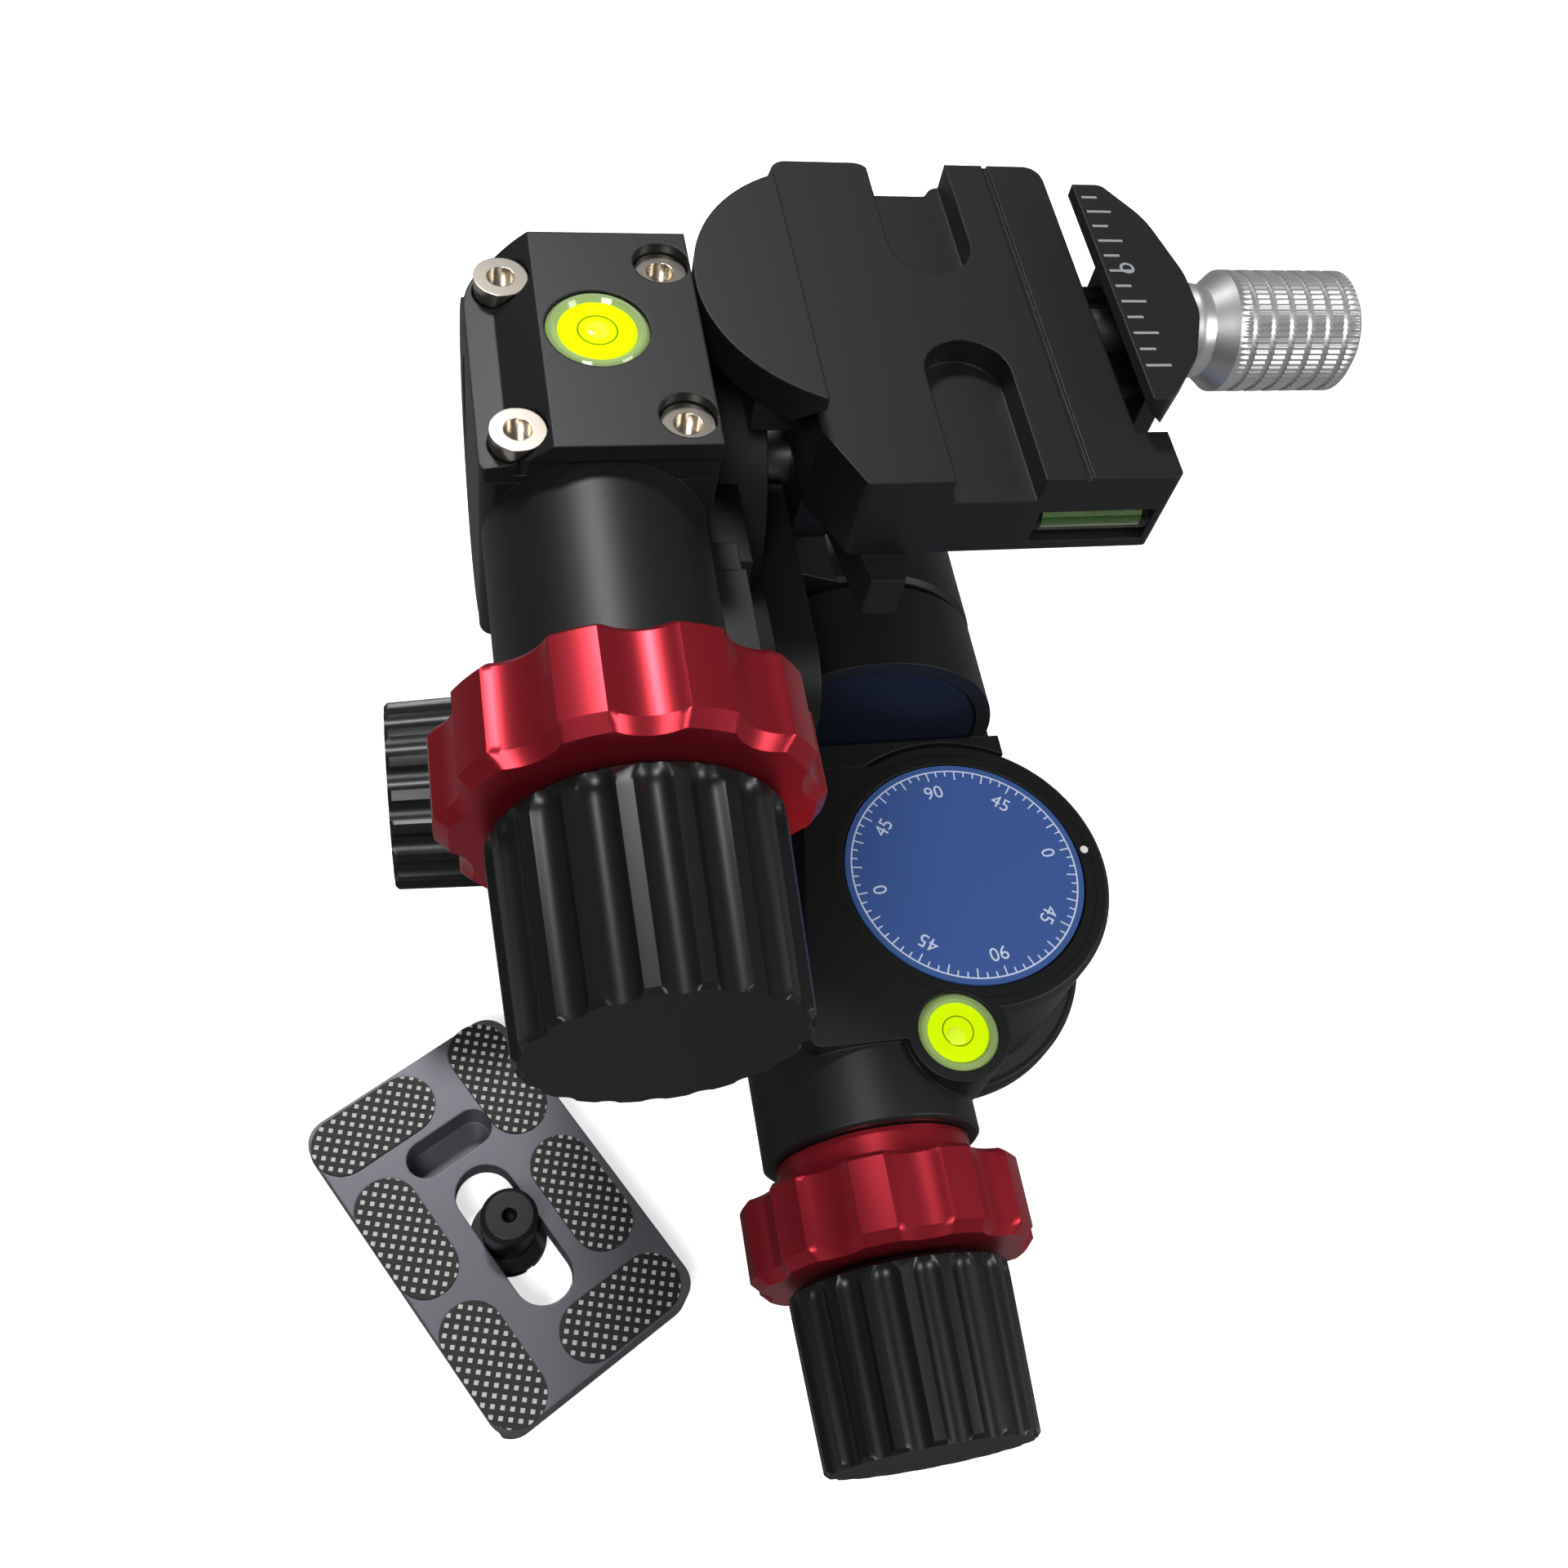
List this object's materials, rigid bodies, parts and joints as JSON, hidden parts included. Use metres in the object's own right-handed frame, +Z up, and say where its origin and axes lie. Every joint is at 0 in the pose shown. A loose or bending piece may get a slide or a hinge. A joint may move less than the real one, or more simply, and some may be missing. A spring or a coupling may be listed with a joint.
{
  "type": "geared tripod head",
  "caption": "Geared tripod head with worm driven pan, roll and tilt axes, clutch rings, bubble levels, a screw clamp and its quick-release plate.",
  "frame": {"origin": "centre of the base's bottom face, on the pan axis", "axes": "+Z up along the pan axis, out of the tripod thread's closed end; +Y from the pan unit towards the roll unit, along the roll axis; +X along the tilt axis, towards the clamp's knob"},
  "size_m": [0.1569, 0.1613, 0.1464],
  "materials": {
    "black": "black anodised and bead blasted, satin",
    "black_knob": "black anodised, turned and milled",
    "red_anodised": "red anodised, satin",
    "blue_dial": "blue anodised disc with white printed scale",
    "navy_dial": "dark blue anodised disc",
    "white_paint": "white paint",
    "steel": "ground steel",
    "bright_screws": "nickel plated socket screws",
    "bronze": "turned bronze",
    "bearing_plastic": "dark grey bearing plastic",
    "clear_vial": "clear moulded acrylic",
    "level_fluid": "yellow green level fluid",
    "silver_knob": "clear anodised, knurled",
    "zinc_steel": "zinc plated steel",
    "grey_plate": "grey anodised, satin",
    "rubber_pad": "black rubber with raised dots",
    "black_steel": "black oxide"
  },
  "bodies": {
    "base": {"base_plate": "black", "base_thread_bush": "zinc_steel", "base_screws": "bright_screws", "pan_spindle": "steel", "pan_wheel": "bronze", "pan_thrust_ring": "bearing_plastic", "pan_spindle_nut": "steel", "pan_dial": "blue_dial"},
    "pan": {"pan_case": "black", "pan_index_dot": "white_paint", "pan_level_cup": "clear_vial", "pan_level_fluid": "level_fluid", "pan_worm_bushes": "bronze", "roll_case": "black", "roll_case_screws": "bright_screws", "roll_worm_bushes": "bronze"},
    "pan_drive": {"pan_worm": "steel", "pan_knob": "black_knob"},
    "pan_clutch": {"pan_clutch_ring": "red_anodised", "pan_clutch_spring": "steel"},
    "roll": {"roll_shaft": "steel", "roll_wheel": "bronze", "roll_dial": "navy_dial", "roll_arm": "black", "roll_arm_screws": "bright_screws", "tilt_case": "black", "tilt_case_screws": "bright_screws", "tilt_cover": "black", "tilt_cover_screws": "bright_screws", "tilt_level_cup": "clear_vial", "tilt_level_fluid": "level_fluid", "tilt_worm_bushes": "bronze"},
    "roll_drive": {"roll_worm": "steel", "roll_knob": "black_knob"},
    "roll_clutch": {"roll_clutch_ring": "red_anodised", "roll_clutch_spring": "steel"},
    "tilt_drive": {"tilt_worm": "steel", "tilt_knob": "black_knob"},
    "tilt_clutch": {"tilt_clutch_ring": "red_anodised", "tilt_clutch_spring": "steel"},
    "tilt": {"tilt_shaft": "steel", "tilt_wheel": "bronze", "cradle": "black", "cradle_screws": "bright_screws", "clamp_body": "black", "fixed_jaw": "black", "fixed_jaw_screws": "bright_screws", "clamp_vial": "clear_vial", "clamp_vial_fluid": "level_fluid"},
    "jaw": {"moving_jaw": "black", "jaw_guide_pins": "black_steel"},
    "clamp_knob": {"clamp_screw": "zinc_steel", "clamp_knob": "silver_knob"},
    "plate": {"qr_plate": "grey_plate", "qr_pads": "rubber_pad"},
    "camera_screw": {"camera_screw": "black_steel"}
  },
  "joints": [
    {"name": "pan", "type": "hinge", "parent": "base", "child": "pan", "pos_m": [0, 0, 0], "axis": [0, 0, 1], "continuous": true},
    {"name": "pan_knob_turn", "type": "hinge", "parent": "pan", "child": "pan_drive", "pos_m": [-0.0201, 0, 0.0144], "axis": [0, -1, 0], "continuous": true},
    {"name": "pan_clutch_turn", "type": "hinge", "parent": "pan", "child": "pan_clutch", "pos_m": [-0.0201, 0, 0.0144], "axis": [0, -1, 0], "range_deg": [0, 35], "stiffness_Nm_per_rad": 0.15},
    {"name": "roll", "type": "hinge", "parent": "pan", "child": "roll", "pos_m": [-0.0135, 0, 0.0335], "axis": [0, 1, 0], "range_deg": [-15, 90]},
    {"name": "roll_knob_turn", "type": "hinge", "parent": "pan", "child": "roll_drive", "pos_m": [0, 0.0325, 0.0134], "axis": [-1, 0, 0], "range_deg": [-4320, 720]},
    {"name": "roll_clutch_turn", "type": "hinge", "parent": "pan", "child": "roll_clutch", "pos_m": [0, 0.0325, 0.0134], "axis": [-1, 0, 0], "range_deg": [0, 35], "stiffness_Nm_per_rad": 0.15},
    {"name": "tilt", "type": "hinge", "parent": "roll", "child": "tilt", "pos_m": [0, 0.05, 0.078], "axis": [1, 0, 0], "range_deg": [-90, 25]},
    {"name": "tilt_knob_turn", "type": "hinge", "parent": "roll", "child": "tilt_drive", "pos_m": [-0.0625, 0, 0.0981], "axis": [0, -1, 0], "range_deg": [-1200, 4320]},
    {"name": "tilt_clutch_turn", "type": "hinge", "parent": "roll", "child": "tilt_clutch", "pos_m": [-0.0625, 0, 0.0981], "axis": [0, -1, 0], "range_deg": [0, 35], "stiffness_Nm_per_rad": 0.15},
    {"name": "jaw_slide", "type": "slide", "parent": "tilt", "child": "jaw", "axis": [-1, 0, 0], "range_m": [0, 0.0055]},
    {"name": "clamp_knob_turn", "type": "hinge", "parent": "jaw", "child": "clamp_knob", "pos_m": [0, 0.047, 0.1055], "axis": [-1, 0, 0], "range_deg": [0, 1985]},
    {"name": "plate_slide", "type": "slide", "parent": "base", "child": "plate", "axis": [-0.8686, -0.4955, 0], "range_m": [0, 0.04]},
    {"name": "camera_screw_turn", "type": "hinge", "parent": "plate", "child": "camera_screw", "pos_m": [-0.07651, -0.03531, 0], "axis": [0, 0, 1], "continuous": true}
  ],
  "couplings": [
    {"joint": "pan_knob_turn", "follows": "pan", "ratio": 48},
    {"joint": "roll_knob_turn", "follows": "roll", "ratio": -48},
    {"joint": "tilt_knob_turn", "follows": "tilt", "ratio": -48},
    {"joint": "clamp_knob_turn", "follows": "jaw_slide", "rad_per_m": 6283.2}
  ]
}
